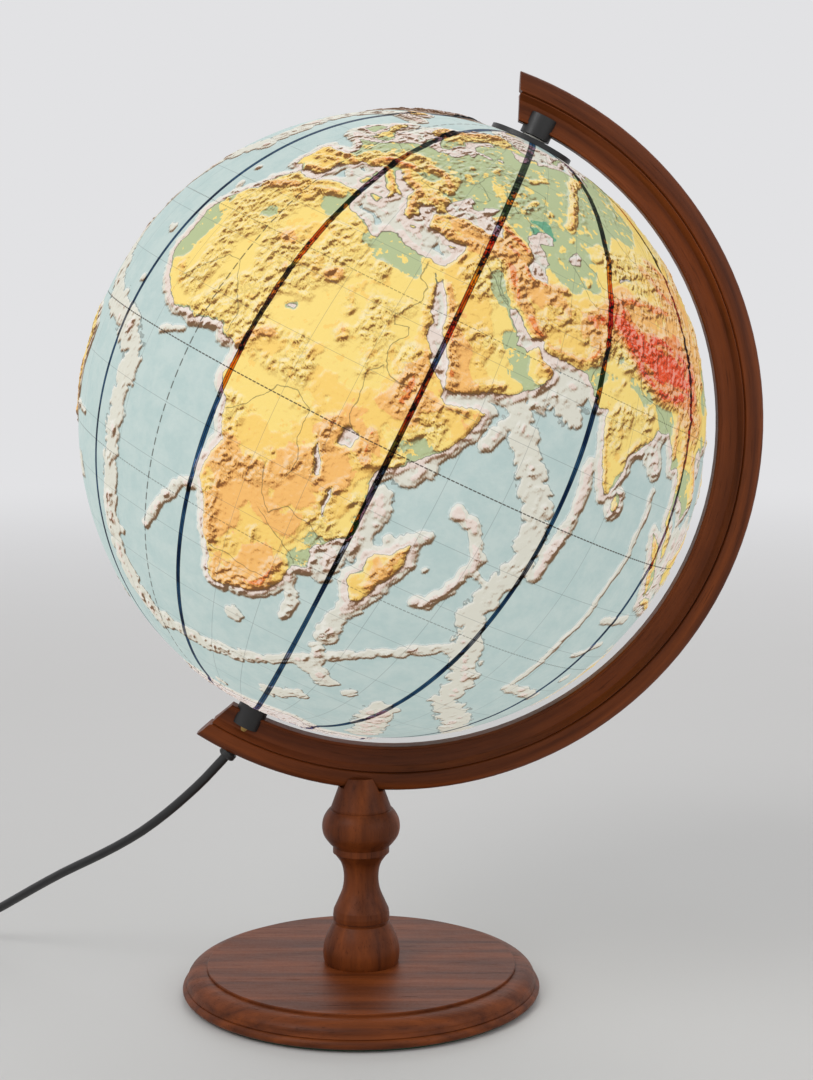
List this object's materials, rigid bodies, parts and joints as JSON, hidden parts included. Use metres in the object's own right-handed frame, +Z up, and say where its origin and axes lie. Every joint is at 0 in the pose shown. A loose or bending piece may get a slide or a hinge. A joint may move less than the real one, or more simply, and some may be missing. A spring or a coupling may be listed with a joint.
{
  "type": "illuminated globe",
  "caption": "Desk globe with a lit relief map ball turning on a leaning axis in a moulded wooden bow, on a turned post and round base, with corded lamp and switch.",
  "frame": {"origin": "middle of the base's underside, on the surface it stands on", "axes": "+Z up along the post; the polar axis leans towards +X, where the bow stands out; -Y is the front"},
  "size_m": [0.5085, 0.32, 0.4806],
  "materials": {
    "gore_print": "printed relief map on a translucent sheet, lit from inside",
    "stained_wood": "satin lacquer over red-brown stain",
    "baize": "pressed wool baize",
    "steel": "zinc plated",
    "nickel": "bright nickel",
    "brass": "turned",
    "black_plastic": "satin",
    "black_gloss": "gloss",
    "nylon": "moulded",
    "shell_plastic": "translucent white",
    "ceramic_core": "glazed",
    "bulb_glass": "frosted inside",
    "filament": "tungsten",
    "cord_sheath": "satin black sheath",
    "cord_tie": "ribbed strap"
  },
  "bodies": {
    "stand": {"base": "stained_wood", "base_baize": "baize", "post": "stained_wood", "tie_bolt": "steel", "tie_washer": "steel", "bow_insert": "brass", "bow": "stained_wood", "north_pin": "steel", "north_hub": "black_plastic", "south_hub": "black_plastic", "thrust_washer": "nylon", "lamp_stem": "brass", "stem_locknut": "brass", "holder_cup": "black_plastic", "holder_sleeve": "black_plastic", "holder_core": "ceramic_core", "holder_screw_shell": "brass", "holder_contact": "brass", "holder_terminals": "brass", "bulb_cap": "nickel", "bulb_contact": "nickel", "bulb_glass": "bulb_glass", "bulb_mount": "bulb_glass", "bulb_filament": "filament", "inner_flex": "cord_sheath", "cord_gland": "black_plastic", "cord_lead": "cord_sheath", "cord_coil": "cord_sheath", "cord_tie": "cord_tie", "switch_base": "black_plastic", "switch_cover": "black_plastic", "switch_contacts": "brass", "switch_screws": "steel", "plug_body": "black_plastic", "plug_pins": "nickel"},
    "rocker": {"switch_rocker": "black_gloss"},
    "globe": {"north_shell": "shell_plastic", "south_shell": "shell_plastic", "equator_ring": "shell_plastic", "north_cap": "black_plastic", "north_bush": "nylon", "south_bush": "nylon", "gore_01": "gore_print", "gore_02": "gore_print", "gore_03": "gore_print", "gore_04": "gore_print", "gore_05": "gore_print", "gore_06": "gore_print", "gore_07": "gore_print", "gore_08": "gore_print", "gore_09": "gore_print", "gore_10": "gore_print", "gore_11": "gore_print", "gore_12": "gore_print"}
  },
  "joints": [
    {"name": "globe_spin", "type": "hinge", "parent": "stand", "child": "globe", "pos_m": [0.0166, 0, 0.30078], "axis": [0.4415, 0, 0.8973], "continuous": true},
    {"name": "switch_tilt", "type": "hinge", "parent": "stand", "child": "rocker", "pos_m": [-0.286, 0.008, 0.0106], "axis": [1, 0, 0], "range_deg": [0, 16]}
  ]
}
